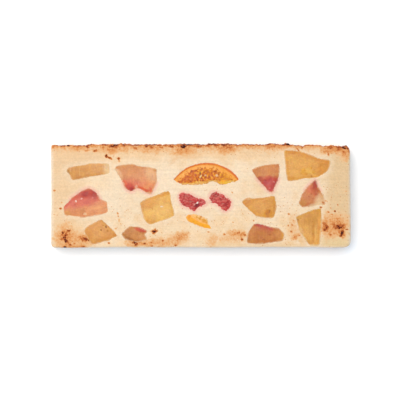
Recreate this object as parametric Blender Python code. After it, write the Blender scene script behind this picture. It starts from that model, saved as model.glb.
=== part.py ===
"""A baked marzipan bar set with candied fruit, lying with its cut face up.

Metres, +Z up. The origin is the middle of the underside. +X runs along the bar, and +Y points at the long
side that was the top of the bake: it is browned and craggy, and the other three sides are pale.
The fruit is cut flush with the face. Each piece is a solid of its own in a pocket of the marzipan. The larger
ones run right through the bar, and the cherries, the orange and the smallest piece end inside it.
"""

from math import radians
from typing import NamedTuple

import bmesh
import bpy
from mathutils import Matrix, Vector, noise

MM = 0.001

# The bar. Its two long sides aren't the same distance from where the pieces are measured from, because
# crags add to one of them. The finished bar is centred on its origin.
BAR_LENGTH = 210 * MM
BAR_HEIGHT = 17 * MM
PALE_SIDE_Y = -36.6 * MM
BROWNED_SIDE_Y = 34.7 * MM
RIGHT_END_LEAN = 0.8 * MM  # how much shorter the bar is along its browned side
CORNER_RADII = (1.5 * MM, 5 * MM, 5 * MM, 3 * MM)  # clockwise, from the left end of the browned side
CORNER_CURVE_STEPS = 4
END_RIM = 1.8 * MM  # how far the faces round over into the ends
PALE_RIM = 1.0 * MM
BROWNED_RIM = 0.5 * MM
BAR_LEVELS = (0, 0.3, 1, 2.2, 5, 8.5, 12, 14.8, 16, 16.7, 17)  # mm above the underside
BROWNED_STEP = 1.75 * MM  # between the points of the outline, along the browned side
PALE_STEP = 6 * MM

# The relief of the browned side. A rise is its middle along X, its half width and its height, in mm.
SWELLS = (
    (-92, 24, -0.6),
    (-60, 13, 0.4),
    (-12, 24, 0.4),
    (18, 9, 0.8),
    (48.5, 5, 0.9),
    (86, 18, -0.6),
    (99, 9, -0.8),
)
CRACKS = (
    (66.5, 1.8, -1.1),
    (70.5, 1.8, -0.9),
)
BURNT_FLAKE = (59.5, 3.2, 1.5)
FLAKE_LOW = 6 * MM  # the flake starts to stand out here, and is whole at the height below
FLAKE_WHOLE = 13 * MM
BULGE_SIZE = 9 * MM
BULGE_HEIGHT = 0.9 * MM
CRAG_SIZE = 4.5 * MM  # of the blistered crags, which meet in creases
CRAG_HEIGHT = 2.2 * MM
WAVE_SIZE = 14 * MM  # of the slight wave in the pale sides
WAVE_HEIGHT = 0.35 * MM

# The fruit
GAP = 0.3 * MM  # between a piece and its pocket
RECESS = 0.2 * MM  # of a piece that runs through, above the underside
SHOULDER = 0.5 * MM  # below the cut face, where the rim of a piece starts to round over
CROWN = ((0.985, -0.08), (0.6, 0.2))  # of the cut face: share of the outline, and mm above the bar
PIECE_CURVE_STEPS = 2
PIECE_STEP = 5 * MM
UNEVEN_SIZE = 4 * MM
UNEVEN_HEIGHT = 0.35 * MM
CUTTER_PROUD = 1.5 * MM  # how far a pocket's cutter stands out of the bar

# How a piece goes on below the cut face: the shares of the way down at which it has a section, and how much
# narrower it is at its far end
CHUNK = ((1, 0.5, 0), 0.14)
SLICE = ((1, 0.5, 0), 0.05)
CHERRY = ((1, 0.85, 0.55, 0), 0.5)

# The orange is a slice of a round one: the peel's arc, and the torn edge of the flesh below it, in mm.
ORANGE_MIDDLE = (3.5, -6.5)
ORANGE_RADIUS = 29
ORANGE_HALF_ARC_DEG = 53.5
ORANGE_ARC_POINTS = 15
ORANGE_TORN_EDGE = (
    (24.6, 9.4), (20.4, 9.2), (17.5, 7.4), (12, 8.2), (10.8, 9.7), (5.2, 10), (4, 8), (-4, 7.7), (-12.5, 7.6),
    (-17.5, 9.2),
)

MARZIPAN_COLOUR = "F4D6AE"
MARZIPAN_ROUGHNESS = 0.7
SMOOTH_UP_TO_DEG = 40


class Piece(NamedTuple):
    """A piece of fruit: its corners in the cut face, clockwise, and the rest of its form, all in mm."""

    corners: tuple
    corner_radius: float
    form: tuple
    depth: float | None  # None where it runs through the bar
    lean: tuple  # how far its far end is shifted
    colour: str
    roughness: float


PIECES = {
    "amber_strip": Piece(
        ((-94.5, 17.2), (-92.8, 19.4), (-80, 21.7), (-64.2, 22.5), (-63.8, 15), (-80, 12.7), (-90, 10.2),
         (-91.8, 14)),
        1.2, CHUNK, None, (1.5, -1), "DCA064", 0.32),
    "amber_kite": Piece(
        ((-69.8, -16.6), (-64.5, -21.8), (-58.2, -28.2), (-65.4, -31.8), (-76.5, -34.8), (-82.3, -25),
         (-80, -22.4)),
        1.2, CHUNK, None, (0, 1.5), "DFA061", 0.3),
    "amber_square": Piece(
        ((-43.4, -4.8), (-33, -0.5), (-22.2, 3.4), (-21, -3.5), (-18.4, -14.4), (-26, -17.3), (-35.6, -21),
         (-39.6, -17.4)),
        1.4, CHUNK, None, (-1, 1), "ECB56D", 0.26),
    "amber_large": Piece(
        ((58.2, 31.6), (68.5, 30.9), (83, 25.6), (90.8, 24), (88.6, 17.2), (82, 12.3), (72, 11.6), (60.6, 9.6),
         (59.2, 21)),
        1.3, CHUNK, None, (0.5, -1), "E5AA60", 0.26),
    "amber_fin": Piece(
        ((27.6, -4.7), (32.4, -1.9), (37, -2.7), (51.6, -0.3), (52.6, -7.6), (51.2, -15.8), (46, -15.9),
         (38.6, -14.6), (31, -8.2)),
        1.2, CHUNK, None, (0.5, 0.5), "E0A15A", 0.3),
    "amber_block": Piece(
        ((66.2, -15.2), (74.5, -11.4), (84.2, -8.8), (84, -22), (82.4, -35.1), (75.4, -35.1), (68.6, -25)),
        1.3, CHUNK, None, (0, 1.5), "D6984F", 0.3),
    "blush_wedge": Piece(
        ((-79.5, 5.2), (-74, 2.8), (-70.3, -3.4), (-66, -4.4), (-65, -12.4), (-83, -15.5), (-95.5, -13.8),
         (-96.8, -8), (-89, -0.6)),
        1.6, CHUNK, None, (1, -0.5), "DA8868", 0.28),
    "blush_trapezoid": Piece(
        ((-60.8, 18.3), (-59.5, 20.6), (-50, 21.7), (-31, 18.3), (-31.2, 9), (-35.3, 0.6), (-41, 3.4),
         (-45.2, 5.3), (-48.8, 2), (-52.8, 4.4), (-54.8, 9.4)),
        1.4, CHUNK, None, (0, 0.5), "DF9A6E", 0.3),
    "blush_triangle": Piece(
        ((35, 17.8), (44, 21), (55, 22), (54, 11), (49.6, 1.6), (46.6, 3.4), (39.6, 11)),
        1.3, CHUNK, None, (-0.5, 1), "CC7A58", 0.3),
    "blush_shard": Piece(
        ((80, 10.8), (82, 5), (84.6, 1.8), (87, -6), (78, -7.8), (71, -8.4), (68.4, -6), (70.8, 0.6),
         (75.6, 7)),
        1.3, CHUNK, None, (0.5, 0), "CC8560", 0.34),
    "russet_small": Piece(
        ((-56, -27.2), (-49.5, -21.6), (-44.5, -22), (-37.4, -25.2), (-40.3, -27.4), (-38, -30.6), (-45, -32.8),
         (-53, -30.8)),
        1.3, SLICE, 8, (0, 0.5), "CB8452", 0.34),
    "russet_long": Piece(
        ((31.6, -33.9), (33.6, -25), (37, -20), (40.5, -19.8), (48.6, -22.5), (54.5, -23.2), (58.6, -27.8),
         (57, -31.8), (44, -33.9)),
        1.6, CHUNK, None, (0, 1.5), "CA824F", 0.34),
    "orange_slice": Piece(ORANGE_TORN_EDGE, 0.9, SLICE, 7, (0, 0.5), "E08A3A", 0.26),
    "orange_peel_strip": Piece(
        ((-10.8, -15.6), (-8, -13.2), (-4.6, -12.8), (1.5, -15.4), (4.4, -16.9), (4.9, -19.8), (7, -23.4),
         (1, -22.5), (-5, -19.9), (-9.3, -17.6)),
        1.0, SLICE, 6, (0, 0), "F5A845", 0.26),
    "cherry_left": Piece(
        ((-15.9, -0.6), (-13.4, 1.7), (-8.2, 1), (-4, -1.4), (1, -3), (4.3, -4.9), (1.8, -7.4), (-1.6, -7.9),
         (-4.8, -11.9), (-8.3, -8.4), (-13.2, -7.8)),
        1.7, CHERRY, 10, (0, 0), "C2504E", 0.24),
    "cherry_right": Piece(
        ((5.6, -2), (6.6, 1.6), (10.8, 2.4), (16.4, -0.8), (20.8, -3.8), (20.8, -9), (16.2, -11.7), (13, -7.6),
         (9.8, -5.5), (6.6, -4.8)),
        1.7, CHERRY, 10, (0, 0), "BE4D49", 0.24),
}


def clear_scene():
    """Removes whatever the scene holds at the start."""
    for thing in list(bpy.data.objects):
        bpy.data.objects.remove(thing)


def new_collection(name):
    """A new collection in the scene."""
    collection = bpy.data.collections.new(name)
    bpy.context.scene.collection.children.link(collection)
    return collection


def linear(hex_colour):
    """The linear colour, with alpha, of an sRGB hex colour."""
    shares = [int(hex_colour[i:i + 2], 16) / 255 for i in (0, 2, 4)]
    return [c / 12.92 if c <= 0.04045 else ((c + 0.055) / 1.055) ** 2.4 for c in shares] + [1.0]


def give_material(solid, hex_colour, roughness):
    """Gives a solid a plain material of its own."""
    material = bpy.data.materials.new(solid.name)
    material.use_nodes = True
    shader = material.node_tree.nodes["Principled BSDF"]
    shader.inputs["Base Color"].default_value = linear(hex_colour)
    shader.inputs["Roughness"].default_value = roughness
    shader.inputs["Metallic"].default_value = 0.0
    solid.data.materials.append(material)


def rounded(corners, radii, curve_steps):
    """The closed outline through the corners, each cut off by a curve that starts its radius away, if any."""
    outline = []
    for i, corner in enumerate(corners):
        if radii[i] == 0:
            outline.append(corner)
            continue
        back = corners[i - 1] - corner
        ahead = corners[(i + 1) % len(corners)] - corner
        start = corner + back.normalized() * min(radii[i], back.length * 0.45)
        end = corner + ahead.normalized() * min(radii[i], ahead.length * 0.45)
        for k in range(curve_steps + 1):
            share = k / curve_steps
            outline.append(start.lerp(corner, share).lerp(corner.lerp(end, share), share))
    return outline


def divided(outline, step_at):
    """The outline with points added, so that its stretches are about as long as the step there."""
    points = []
    for start, end in zip(outline, outline[1:] + outline[:1]):
        count = max(1, round((end - start).length / step_at((start + end) / 2)))
        points += [start.lerp(end, k / count) for k in range(count)]
    return points


def outward(outline):
    """The direction straight out of a clockwise outline, at each of its points."""
    along = [outline[(i + 1) % len(outline)] - outline[i - 1] for i in range(len(outline))]
    return [Vector((-way.y, way.x)).normalized() for way in along]


def grown(outline, distance):
    """The outline moved outwards by the distance."""
    return [point + way * distance for point, way in zip(outline, outward(outline))]


def at_height(outline, z):
    """The flat outline as points in space."""
    return [Vector((point.x, point.y, z)) for point in outline]


def loft(name, sections, origin, collection):
    """A closed solid through clockwise sections with equally many points, listed from the lowest up."""
    shape = bmesh.new()
    rings = [[shape.verts.new(point - origin) for point in section] for section in sections]
    for lower, upper in zip(rings, rings[1:]):
        for i in range(len(lower)):
            shape.faces.new((lower[i], lower[i - 1], upper[i - 1], upper[i]))
    shape.faces.new(rings[0])
    shape.faces.new(reversed(rings[-1]))
    bmesh.ops.recalc_face_normals(shape, faces=shape.faces)
    mesh = bpy.data.meshes.new(name)
    shape.to_mesh(mesh)
    shape.free()
    mesh.shade_smooth()
    mesh.set_sharp_from_angle(angle=radians(SMOOTH_UP_TO_DEG))
    solid = bpy.data.objects.new(name, mesh)
    collection.objects.link(solid)
    return solid


def rise_at(x, middle, half_width, height):
    """How high a smooth rise is at x. It is gone at its half width to either side of its middle."""
    reach = (x / MM - middle) / half_width
    return height * MM * max(0.0, 1 - reach * reach) ** 2


def browned_relief(x, z):
    """How far the browned side stands out past its flat line."""
    flake_share = min(1.0, max(0.0, (z - FLAKE_LOW) / (FLAKE_WHOLE - FLAKE_LOW)))
    relief = sum(rise_at(x, *rise) for rise in SWELLS + CRACKS)
    relief += flake_share * rise_at(x, *BURNT_FLAKE)
    relief += BULGE_HEIGHT * noise.noise(Vector((x, 0, z)) / BULGE_SIZE)
    return relief + CRAG_HEIGHT * abs(noise.noise(Vector((x, 0, z)) / CRAG_SIZE))


def rim_inset(way, z):
    """How far a side that faces this way is drawn in at a height, where it rounds over into the faces."""
    browned, pale = max(way.y, 0.0) ** 2, max(-way.y, 0.0) ** 2
    radius = END_RIM * way.x ** 2 + BROWNED_RIM * browned + PALE_RIM * pale
    short = max(0.0, radius - min(z, BAR_HEIGHT - z))
    return radius - (radius ** 2 - short ** 2) ** 0.5


def bar_sections():
    """The outline of the marzipan at each of its levels."""
    right, left = BAR_LENGTH / 2, -BAR_LENGTH / 2
    corners = [
        Vector((left, BROWNED_SIDE_Y)),
        Vector((right - RIGHT_END_LEAN, BROWNED_SIDE_Y)),
        Vector((right, PALE_SIDE_Y)),
        Vector((left, PALE_SIDE_Y)),
    ]
    outline = rounded(corners, CORNER_RADII, CORNER_CURVE_STEPS)
    outline = divided(outline, lambda place: BROWNED_STEP if place.y > BROWNED_SIDE_Y - MM else PALE_STEP)
    sections = []
    for level in BAR_LEVELS:
        z = level * MM
        section = []
        for point, way in zip(outline, outward(outline)):
            browned = max(way.y, 0.0) ** 2
            wave = WAVE_HEIGHT * noise.noise(Vector((point.x, point.y, z)) / WAVE_SIZE)
            relief = browned * browned_relief(point.x, z) + (1 - browned) * wave
            section.append(point + way * (relief - rim_inset(way, z)))
        sections.append(at_height(section, z))
    return sections


def box_middle(sections):
    """The middle of the sections' box in plan, at height 0."""
    points = [point for section in sections for point in section]
    middle = [(min(p[i] for p in points) + max(p[i] for p in points)) / 2 for i in (0, 1)]
    return Vector((*middle, 0))


def orange_arc():
    """The arc of the orange's peel, clockwise from its left tip."""
    turns = [ORANGE_HALF_ARC_DEG * (1 - 2 * k / (ORANGE_ARC_POINTS - 1)) for k in range(ORANGE_ARC_POINTS)]
    top = Vector((0, ORANGE_RADIUS))
    return [(Vector(ORANGE_MIDDLE) + Matrix.Rotation(radians(turn), 2) @ top) * MM for turn in turns]


def cut_outline(name, piece):
    """The outline of a piece in the cut face, slightly uneven."""
    corners = [Vector(corner) * MM for corner in piece.corners]
    radii = [piece.corner_radius * MM] * len(corners)
    if name == "orange_slice":
        arc = orange_arc()
        corners = arc + corners
        radii = [radii[0]] + [0] * (len(arc) - 2) + [radii[0]] + radii
    outline = divided(rounded(corners, radii, PIECE_CURVE_STEPS), lambda place: PIECE_STEP)
    bumps = [UNEVEN_HEIGHT * noise.noise(Vector((*point, 0)) / UNEVEN_SIZE) for point in outline]
    return [point + way * bump for point, way, bump in zip(outline, outward(outline), bumps)]


def scaled(outline, scale, shift=Vector((0, 0))):
    """The outline scaled about its own middle, and shifted."""
    middle = sum(outline, Vector((0, 0))) / len(outline)
    return [middle + (point - middle) * scale + shift for point in outline]


def lower_sections(piece, outline, growth, end_gap):
    """The sections from the far end up to the shoulder, grown, with the far end deeper by end_gap."""
    depth = BAR_HEIGHT - RECESS if piece.depth is None else piece.depth * MM
    shares, narrowing = piece.form
    sections = []
    for share in shares:
        shrunk = scaled(outline, 1 - narrowing * share ** 3, Vector(piece.lean) * MM * share)
        z = BAR_HEIGHT - max(depth * share, SHOULDER) - (end_gap if share == 1 else 0)
        sections.append(at_height(grown(shrunk, growth), z))
    return sections


def fruit_piece(name, piece, origin, parts, cutters):
    """A piece of fruit, and the cutter of its pocket."""
    outline = cut_outline(name, piece)
    sections = lower_sections(piece, outline, 0, 0)
    sections += [at_height(scaled(outline, share), BAR_HEIGHT + rise * MM) for share, rise in CROWN]
    solid = loft(name, sections, origin, parts)
    give_material(solid, piece.colour, piece.roughness)

    sections = lower_sections(piece, outline, GAP, CUTTER_PROUD if piece.depth is None else GAP)
    sections.append(at_height(grown(outline, GAP), BAR_HEIGHT + CUTTER_PROUD))
    cutter = loft(f"{name}_pocket", sections, origin, cutters)
    cutter.hide_render = True
    cutter.display_type = 'WIRE'


def main():
    clear_scene()
    parts = new_collection("marzipan_bar")
    cutters = new_collection("pocket_cutters")
    sections = bar_sections()
    origin = box_middle(sections)
    slab = loft("marzipan_slab", sections, origin, parts)
    give_material(slab, MARZIPAN_COLOUR, MARZIPAN_ROUGHNESS)
    for name, piece in PIECES.items():
        fruit_piece(name, piece, origin, parts, cutters)
    pockets = slab.modifiers.new("pockets", 'BOOLEAN')
    pockets.operation = 'DIFFERENCE'
    pockets.solver = 'EXACT'
    pockets.operand_type = 'COLLECTION'
    pockets.collection = cutters


main()
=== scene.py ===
# %% [markdown]
# # A marzipan bar with candied fruit
#
# The bar is sliced from a block that was baked in a tray. The slicing shows a smooth cream face with the
# fruit cut through in it, and leaves one long side browned, where the block's top met the heat.
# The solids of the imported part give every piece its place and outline. This script copies each solid, gives
# the copy a surface that is fine enough to carry crumbs, crags and flesh, and then makes the finishes.

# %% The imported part, and its box
from math import radians
from typing import NamedTuple

import bpy
import numpy as np
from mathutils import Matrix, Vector, kdtree, noise


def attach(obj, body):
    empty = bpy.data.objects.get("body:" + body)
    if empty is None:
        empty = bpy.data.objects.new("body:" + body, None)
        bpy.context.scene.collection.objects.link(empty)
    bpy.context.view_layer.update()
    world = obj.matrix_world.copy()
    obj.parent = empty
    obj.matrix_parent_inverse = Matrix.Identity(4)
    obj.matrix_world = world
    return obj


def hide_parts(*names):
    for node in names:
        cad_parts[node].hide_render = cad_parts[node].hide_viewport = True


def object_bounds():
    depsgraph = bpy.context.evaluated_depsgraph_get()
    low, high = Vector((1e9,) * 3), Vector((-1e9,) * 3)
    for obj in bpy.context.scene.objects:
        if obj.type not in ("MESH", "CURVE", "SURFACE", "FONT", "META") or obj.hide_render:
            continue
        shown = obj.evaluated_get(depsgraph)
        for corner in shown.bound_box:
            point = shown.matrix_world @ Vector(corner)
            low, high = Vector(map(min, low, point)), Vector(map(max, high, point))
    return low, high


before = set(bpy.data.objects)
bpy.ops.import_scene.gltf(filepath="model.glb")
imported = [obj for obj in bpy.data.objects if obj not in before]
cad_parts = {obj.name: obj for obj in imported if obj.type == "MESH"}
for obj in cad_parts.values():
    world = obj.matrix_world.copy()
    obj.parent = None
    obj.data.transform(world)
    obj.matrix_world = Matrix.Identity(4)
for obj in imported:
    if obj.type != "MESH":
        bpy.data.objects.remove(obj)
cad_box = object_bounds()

MM = 0.001  # the scene is in metres, and its sizes are given in millimetres
print("solids:", sorted(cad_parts))

# %% [markdown]
# ## The photographer's table
#
# The bar lies on white card and is seen from straight above. A long lens, far away, shows no side of the bar,
# as in a catalogue picture. One large soft lamp at the upper left gives the faint shadow below and to the
# right, and a pale sky on all sides fills the rest. There is more light than the card needs to come out
# white, as photographers like it: the shadow then shows only close to the bar.

# %% A colour as it is seen in the picture, in the linear values that a shader takes
LIGHT = 1.43  # how many times as bright as itself a pale thing comes out on this table

def linear(hex_colour):
    """What comes out as this colour under the light. It has two digits each of red, green and blue."""
    shares = [int(hex_colour[i:i + 2], 16) / 255 for i in (0, 2, 4)]
    seen = [c / 12.92 if c <= 0.04045 else ((c + 0.055) / 1.055) ** 2.4 for c in shares]
    return [c / LIGHT for c in seen] + [1.0]


# %% The camera
BAR_TOP = cad_box[1][2]
CAMERA_RISE = 3.0  # metres above the cut face
FIELD = 280 * MM  # the stretch of the cut face that the picture spans
PICTURE_MIDDLE = (-0.7 * MM, -3.36 * MM)
SENSOR_WIDTH = 36  # mm
FARTHEST_SEEN = 20  # metres

bpy.ops.object.select_all(action='DESELECT')
bpy.ops.object.camera_add(location=(*PICTURE_MIDDLE, BAR_TOP + CAMERA_RISE), rotation=(0, 0, 0))
camera = bpy.context.object
camera.name = "camera"
camera.data.sensor_width = SENSOR_WIDTH
camera.data.lens = SENSOR_WIDTH * CAMERA_RISE / FIELD
camera.data.clip_end = FARTHEST_SEEN
bpy.context.scene.camera = camera
bpy.context.scene.view_settings.view_transform = 'Standard'
print(f"lens {camera.data.lens:.0f} mm")

# %% The lamp and the sky
LAMP_PLACE = Vector((-0.4, 0.45, 1.25))  # metres
LAMP_SIZE = 1.2
LAMP_POWER = 12.5
LAMP_COLOUR = (1.19, 1.0, 0.77)
SKY_STRENGTH = 0.94
SKY_COLOUR = (0.91, 1.0, 1.115, 1)  # cooler than the lamp, so that the two together are white

bpy.ops.object.light_add(type='AREA', location=LAMP_PLACE)
lamp = bpy.context.object
lamp.name = "soft_lamp"
lamp.rotation_euler = (-LAMP_PLACE).to_track_quat('-Z', 'Y').to_euler()
lamp.data.shape = 'DISK'
lamp.data.size = LAMP_SIZE
lamp.data.energy = LAMP_POWER
lamp.data.color = LAMP_COLOUR

world = bpy.data.worlds.new("pale_sky")
bpy.context.scene.world = world
world.use_nodes = True
world.node_tree.nodes["Background"].inputs["Color"].default_value = SKY_COLOUR
world.node_tree.nodes["Background"].inputs["Strength"].default_value = SKY_STRENGTH

# %% [markdown]
# ## Making a material
#
# A shader is a chain of nodes. One function adds a node, sets it and links it, so that each material below
# reads from top to bottom. All patterns are laid out in millimetres of the bar itself. What one node gives
# out often has to be brought into another range before the next can use it. Such a link is written as
# Scaled.

# %% One function for every node, and what its sockets are fed with
class Scaled(NamedTuple):
    """A node's output, taken smoothly from one range to another and kept inside it."""
    output: object
    from_low: float
    from_high: float
    to_low: float
    to_high: float


def feed(tree, socket, value):
    """Sets a socket to a value or a hex colour, or links it to an output, as it is or scaled."""
    if isinstance(value, Scaled):
        names = ("Value", "From Min", "From Max", "To Min", "To Max")
        value = add(tree, "MapRange", dict(zip(names, value)), interpolation_type='SMOOTHSTEP')
    if isinstance(value, bpy.types.NodeSocket):
        tree.links.new(value, socket)
    else:
        socket.default_value = linear(value) if isinstance(value, str) else value


def add(tree, kind, inputs=None, take=None, stops=(), **settings):
    """Adds a node, feeds its inputs, and returns its first output, or the one to take."""
    made = tree.nodes.new(f"ShaderNode{kind}")
    for name, value in settings.items():
        setattr(made, name, value)
    for place, value in (inputs or {}).items():
        by_name = (s for s in made.inputs if s.enabled and s.name == place)
        feed(tree, made.inputs[place] if isinstance(place, int) else next(by_name), value)
    if stops:
        elements = made.color_ramp.elements
        while len(elements) < len(stops):
            elements.new(1.0)
        for element, (position, colour) in zip(elements, stops):
            element.position = position
            element.color = linear(colour)
    return next(s for s in made.outputs if s.enabled and take in (None, s.name))


def new_material(name):
    """A material with its shader, its tree, and the place on the bar in millimetres."""
    material = bpy.data.materials.new(name)
    material.use_nodes = True
    tree = material.node_tree
    metres = add(tree, "TexCoord", take="Object")
    place = add(tree, "VectorMath", {0: metres, "Scale": 1 / MM}, operation='SCALE')
    return material, tree, tree.nodes["Principled BSDF"], place


def set_shader(tree, shader, **sockets):
    """Feeds the shader's own sockets. An underscore stands for a space."""
    for name, value in sockets.items():
        feed(tree, shader.inputs[name.replace("_", " ")], value)


# %% Chains of nodes that several materials share
def product(tree, *factors):
    """The factors multiplied, one after the other."""
    whole = factors[0]
    for factor in factors[1:]:
        whole = add(tree, "Math", {0: whole, 1: factor}, operation='MULTIPLY')
    return whole


def covered(tree, colour, *layers):
    """The colour with others laid over it. A layer is how far it covers what lies below, and its colour."""
    for cover, over in layers:
        colour = add(tree, "Mix", {"Factor": cover, "A": colour, "B": over}, data_type='RGBA')
    return colour


def shifted(tree, place, size, amount):
    """The place, pushed about unevenly, so that what is drawn on it gets a natural outline. In mm."""
    swirl = add(tree, "TexNoise", {"Vector": place, "Scale": 1 / size, "Detail": 3.0}, take="Color")
    centred = add(tree, "VectorMath", {0: swirl, 1: (0.5, 0.5, 0.5)}, operation='SUBTRACT')
    push = add(tree, "VectorMath", {0: centred, "Scale": 2 * amount}, operation='SCALE')
    return add(tree, "VectorMath", {0: place, 1: push}, operation='ADD')


GLOSS = (0.019, 0.026, 0.047)  # what the sky's reflection on a moist surface adds to its red, green and blue
DARKEST = (0.004, 0.004, 0.004)

def without_gloss(tree, colour, share=1.0):
    """The colour less the reflection, so that the two together come out as the colour seen."""
    dimmer = add(tree, "VectorMath", {0: colour, 1: [share * c for c in GLOSS]}, operation='SUBTRACT')
    return add(tree, "VectorMath", {0: dimmer, 1: DARKEST}, operation='MAXIMUM')


# %% Patches of colour, laid on one by one
MEASURED_FROM = (0.45, -0.31)  # mm: the point that the marks' places are measured from, off the bar's middle
ENDLESS = 1e6  # mm, so that a patch goes right through the piece


class Patch(NamedTuple):
    """An oval of colour with a soft edge: its middle, half sizes in mm, strength, and turn in degrees."""
    colour: str
    x: float
    y: float
    long: float
    short: float
    strength: float
    turn: float = 0
    soft: float = 0.9  # the share of its radius over which it fades


def painted(tree, place, colour, patches):
    """The colour with the patches laid over it, one after the other."""
    for patch in (Patch(*numbers) for numbers in patches):
        middle = (patch.x + MEASURED_FROM[0], patch.y + MEASURED_FROM[1], 0)
        oval = add(tree, "Mapping", {"Vector": place, "Location": middle,
                                     "Rotation": (0, 0, radians(patch.turn)),
                                     "Scale": (patch.long, patch.short, ENDLESS)}, vector_type='TEXTURE')
        reach = add(tree, "VectorMath", {0: oval}, operation='LENGTH')
        cover = Scaled(reach, 1 + patch.soft / 2, 1 - patch.soft / 2, 0, patch.strength)
        colour = covered(tree, colour, (cover, patch.colour))
    return colour


# %% [markdown]
# ## The marzipan, as a mesh
#
# The solid's faces are long slivers round the pockets, which can't carry a fine surface. A voxel remesh lays
# an even net over it, and rounds each cut edge a little, as soft almond paste does. The walls of the pockets
# are moved 0.6 mm inwards first: the net then meets the fruit with no gap, as the paste clings to it.
# What lies inside the pockets can't be seen, so its net is thinned afterwards.

# %% Copying a solid as a piece of its own
SAME_PLACE = 1e-6  # metres

def take_up(piece):
    """Selects the piece alone, as the operators need."""
    bpy.ops.object.select_all(action='DESELECT')
    piece.select_set(True)
    bpy.context.view_layer.objects.active = piece


def copy_of(node, name):
    """A copy of a solid, its loose triangles merged into one skin."""
    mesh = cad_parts[node].data.copy()
    mesh.name = name
    mesh.materials.clear()
    piece = bpy.data.objects.new(name, mesh)
    bpy.context.scene.collection.objects.link(piece)
    take_up(piece)
    bpy.ops.object.mode_set(mode='EDIT')
    bpy.ops.mesh.select_all(action='SELECT')
    bpy.ops.mesh.remove_doubles(threshold=SAME_PLACE)
    bpy.ops.mesh.normals_make_consistent(inside=False)
    bpy.ops.object.mode_set(mode='OBJECT')
    return piece


def apply_modifier(piece, kind, **settings):
    """Gives the piece a modifier, sets it, and applies it."""
    modifier = piece.modifiers.new(kind, kind)
    for name, value in settings.items():
        setattr(modifier, name, value)
    take_up(piece)
    bpy.ops.object.modifier_apply(modifier=modifier.name)


# %% Reading and moving a mesh's points all at once, in millimetres
def points_of(piece):
    """Where each point is."""
    points = np.empty(len(piece.data.vertices) * 3)
    piece.data.vertices.foreach_get("co", points)
    return points.reshape(-1, 3) / MM


def facing_of(piece):
    """Which way each point looks."""
    facing = np.empty(len(piece.data.vertices) * 3)
    piece.data.vertex_normals.foreach_get("vector", facing)
    return facing.reshape(-1, 3)


def put_points(piece, points):
    """Moves each point to its new place."""
    piece.data.vertices.foreach_set("co", (points * MM).ravel())
    piece.data.update()


def lift_faces(piece, points, facing, lift):
    """Puts the points, lifted by so many mm on the upper and the lower face. The sides stay."""
    put_points(piece, points + facing * (lift * np.abs(facing[:, 2]))[:, None])


def keep_value(piece, name, values):
    """Stores one number at each point, for the material to read."""
    attribute = piece.data.attributes.new(name, 'FLOAT', 'POINT')
    attribute.data.foreach_set("value", np.asarray(values, dtype=np.float32))


# %% Noise, smooth steps and distances
def noise_at(points, size, seed=0.0):
    """Smooth noise from about -1 to 1, with bumps of that size in mm."""
    shift = Vector((seed, seed, seed))
    return np.array([noise.noise(Vector(p) / size + shift) for p in points])


def layered(points, noises):
    """The sum of several noises, each given by its size in mm, its strength and its seed."""
    return sum(strength * noise_at(points, size, seed) for size, strength, seed in noises)


def eased(values, low, high):
    """0 below low, 1 above high, and a smooth step between."""
    share = np.clip((values - low) / (high - low), 0, 1)
    return share * share * (3 - 2 * share)


def distance_to(targets, points):
    """How far each point is from the nearest target."""
    tree = kdtree.KDTree(len(targets))
    for i, target in enumerate(targets):
        tree.insert(target, i)
    tree.balance()
    return np.array([tree.find(point)[2] for point in points])


# %% Thickening a solid sideways
SLIVER = 0.01 * MM * MM  # faces smaller than this say nothing about which way a wall looks
STEEP = 0.7  # a face whose normal rises less than this is part of a wall
SAME_WAY = 0.98  # two walls whose normals have a product above this look the same way
SHARPEST = 0.3  # keeps very sharp corners from running out too far

def thickened(piece, distance, zone):
    """Moves the walls inside the zone sideways by the distance in mm. Corners stay as sharp as they are."""
    along, lowest, highest = zone
    points = points_of(piece)
    ways = [[] for point in points]
    for face in piece.data.polygons:
        inside = abs(face.center.x / MM) < along and lowest < face.center.y / MM < highest
        if inside and abs(face.normal.z) < STEEP and face.area > SLIVER:
            way = face.normal.to_2d().normalized()
            for index in face.vertices:
                if all(way.dot(other) < SAME_WAY for other in ways[index]):
                    ways[index].append(way)
    for index, found in enumerate(ways):
        if found:
            mean = sum(found, Vector((0, 0))) / len(found)
            points[index, :2] += np.array(mean) * distance / max(mean.length_squared, SHARPEST)
    put_points(piece, points)


# %% Filling up the edges that the net has rounded
BAR_THICKNESS = 17.0  # mm
HALFWAY = BAR_THICKNESS / 2
UPWARDS = 0.2  # a point that looks further up than this belongs to an upper edge or face
ROUNDING = 0.8  # mm below the cut face that the net's rounding of an edge reaches
LEFT_OF_ROUNDING = 0.25  # the share of it that stays

def pressed_flush(points, facing):
    """The points with the rounded upper edges filled up, so that fruit and paste meet without a groove."""
    below = BAR_THICKNESS - points[:, 2]
    rounded = (facing[:, 2] > UPWARDS) & (below > 0) & (below < ROUNDING)
    points[:, 2] += np.where(rounded, (1 - LEFT_OF_ROUNDING) * below, 0)
    return points


# %% The marzipan's net
NET = 0.62  # mm, a little under one picture point
POCKET_CLOSING = 0.6  # mm
POCKET_WALLS = (101, -35.7, 32.6)  # a zone: its furthest along, and its lowest and highest across
FRUIT_ZONE = (101.5, -35.5, 32.8)  # and the zone that the fruit lies in
HIDDEN_HEIGHTS = (1.2, 15.8)  # mm: nothing that lies among the fruit is seen between them
KEPT_SHARE = 0.45  # the share of the net's faces that the thinning aims at
ONLY_HIDDEN = 10  # how strongly the thinning keeps to the hidden points

def among_fruit(points):
    """Which points lie where the fruit is, seen from above."""
    along, lowest, highest = FRUIT_ZONE
    return (np.abs(points[:, 0]) < along) & (points[:, 1] > lowest) & (points[:, 1] < highest)


marzipan = copy_of("marzipan_slab", "marzipan")
thickened(marzipan, POCKET_CLOSING, POCKET_WALLS)
apply_modifier(marzipan, 'REMESH', mode='VOXEL', voxel_size=NET * MM)

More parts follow.
